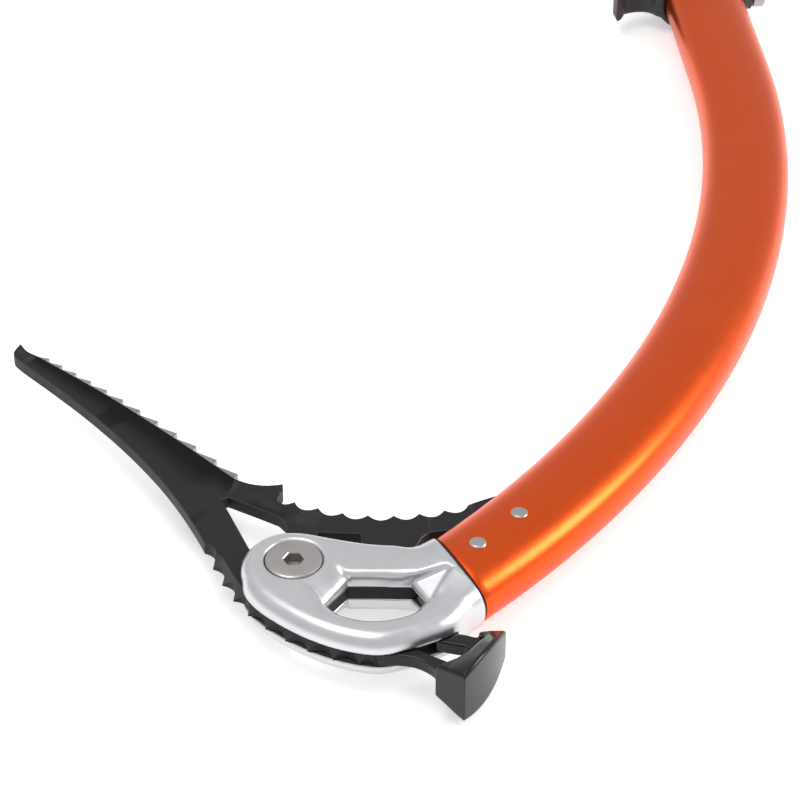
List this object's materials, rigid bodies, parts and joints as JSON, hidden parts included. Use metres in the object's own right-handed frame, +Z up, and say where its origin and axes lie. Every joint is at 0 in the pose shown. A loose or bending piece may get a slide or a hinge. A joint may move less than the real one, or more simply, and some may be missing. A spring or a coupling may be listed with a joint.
{
  "type": "ice axe",
  "caption": "Climbing ice axe with a bent oval shaft, a forged head, a toothed pick, a square hammer, a ribbed grip with a sliding finger rest, and a spike, lying on its side",
  "frame": {"origin": "centre of the bounding box in X and Y, at the level of the surface the axe lies on", "axes": "the axe lies on its side with the blade's plane level: +Z is up, across the blade; +Y runs towards the spike, along the straight grip to within five degrees; -X is towards the pick's tip"},
  "size_m": [0.2532, 0.5388, 0.0231],
  "materials": {
    "forged_aluminium": "satin, bead-blasted and clear anodised",
    "black_steel": "matt black coating",
    "bolt_steel": "fine turned",
    "black_rubber": "matt",
    "orange_anodised": "satin orange",
    "black_plastic": "fine texture",
    "spike_steel": "ground"
  },
  "bodies": {
    "axe": {"head_forging": "forged_aluminium", "pick": "black_steel", "hammer": "black_steel", "pick_bolt": "bolt_steel", "pick_bolt_nut": "bolt_steel", "shaft_seal": "black_rubber", "shaft_tube": "orange_anodised", "head_rivet_front": "bolt_steel", "head_rivet_rear": "bolt_steel", "grip_sleeve": "black_rubber", "pommel": "black_plastic", "spike": "spike_steel", "spike_rivet": "bolt_steel"},
    "finger_rest": {"finger_rest_band": "black_plastic", "finger_rest_screw": "bolt_steel", "finger_rest_shoe": "bolt_steel"}
  },
  "joints": [
    {"name": "finger_rest_slide", "type": "slide", "parent": "axe", "child": "finger_rest", "axis": [0.0872, -0.9962, 0], "range_m": [0, 0.048]}
  ]
}
